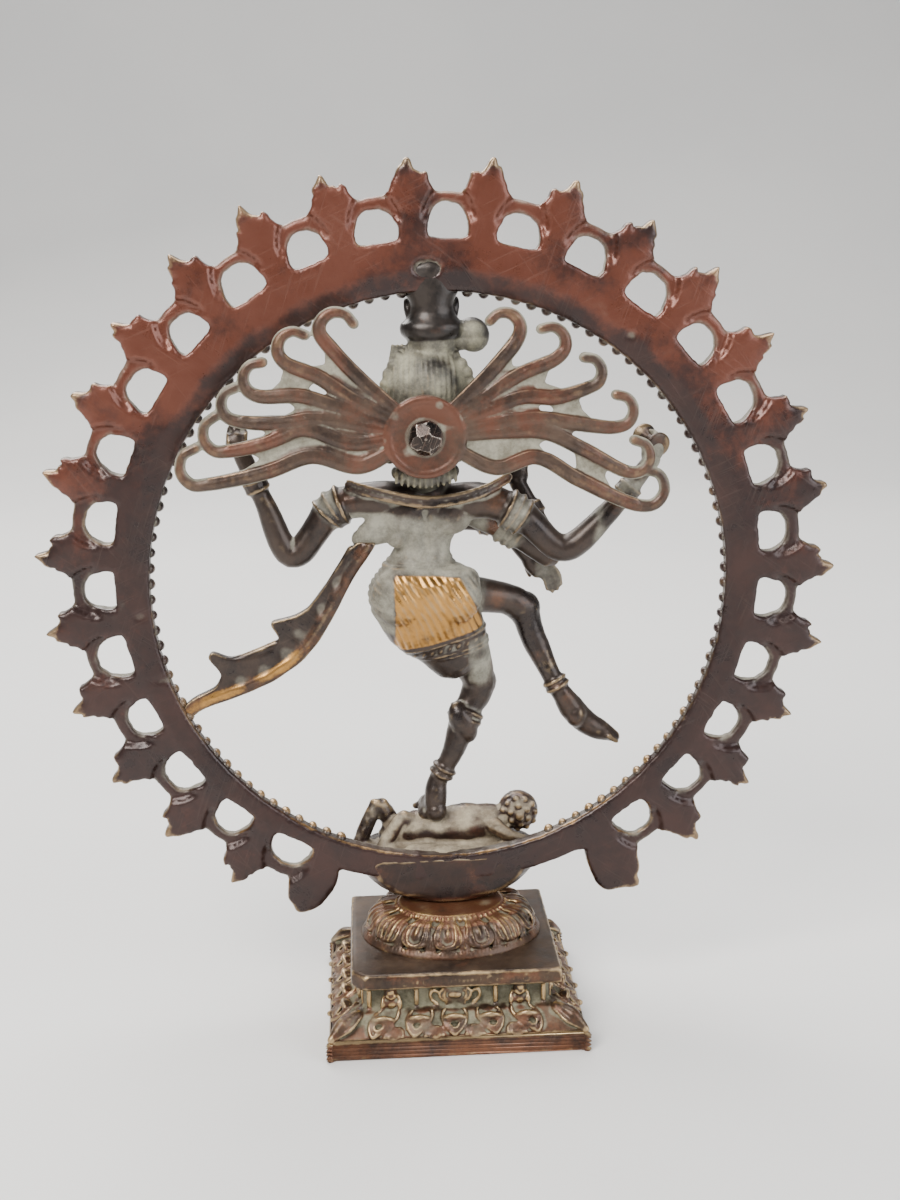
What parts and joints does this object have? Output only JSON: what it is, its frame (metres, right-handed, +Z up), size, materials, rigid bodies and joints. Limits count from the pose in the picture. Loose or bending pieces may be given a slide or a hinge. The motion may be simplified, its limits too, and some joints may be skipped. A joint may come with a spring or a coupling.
{
  "type": "shiva nataraja statue",
  "caption": "Cast brass dancing Shiva inside a ring of flames, with fanned curling hair, standing on a dwarf over a stepped lotus pedestal.",
  "frame": {"origin": "middle of the pedestal's flat underside", "axes": "+Z up; the dancer faces -Y, so the smooth back of the ring faces +Y; +X is the dancer's left"},
  "size_m": [0.1801, 0.054, 0.1966],
  "materials": {
    "pedestal_brass": "worn brown patina with bright edges",
    "figure_brass": "dark brown satin patina with rubbed golden edges",
    "fan_brass": "brown patina with pale dirt in the hollows",
    "rivet_metal": "dark hammered metal"
  },
  "bodies": {
    "root": {"pedestal": "pedestal_brass", "figure_and_flame_ring": "figure_brass", "hair_fan": "fan_brass", "fan_rivet": "rivet_metal"}
  },
  "joints": []
}
